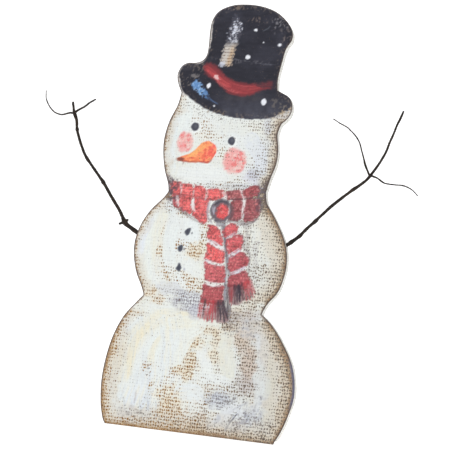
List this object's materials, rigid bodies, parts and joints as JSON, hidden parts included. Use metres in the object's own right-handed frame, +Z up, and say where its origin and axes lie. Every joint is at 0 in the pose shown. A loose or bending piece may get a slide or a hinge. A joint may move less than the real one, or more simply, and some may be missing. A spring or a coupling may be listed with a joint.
{
  "type": "wooden snowman figure",
  "caption": "Free-standing cut-out snowman board with a painted burlap-look face sheet, natural twig arms in drilled holes, and a hinged easel strut behind it.",
  "frame": {"origin": "centre of the figure's bounding box in X and Y, on the surface it stands on", "axes": "+Z up, the painted front faces -Y, +X to the right of someone looking at the front"},
  "size_m": [0.3828, 0.129, 0.3938],
  "materials": {
    "painted_board": "fibreboard with thin matt white paint on its edges and back",
    "printed_sheet": "matt canvas sheet printed with a worn painting on burlap",
    "twig": "natural dark bark",
    "strut_board": "bare fibreboard",
    "hinge_steel": "zinc-plated sheet steel",
    "screw_steel": "zinc-plated, cross recess"
  },
  "bodies": {
    "figure": {"board_panel": "painted_board", "printed_face": "printed_sheet", "arm_left": "twig", "arm_right": "twig", "hinge_leaf_board": "hinge_steel", "hinge_pin": "hinge_steel", "board_screw_1": "screw_steel", "board_screw_2": "screw_steel"},
    "strut": {"easel_strut": "strut_board", "hinge_leaf_strut": "hinge_steel", "strut_screw_1": "screw_steel", "strut_screw_2": "screw_steel"}
  },
  "joints": [
    {"name": "strut_fold", "type": "hinge", "parent": "figure", "child": "strut", "pos_m": [0.00504, 0.00525, 0.20892], "axis": [1, 0, 0], "range_deg": [-30, 0]}
  ]
}
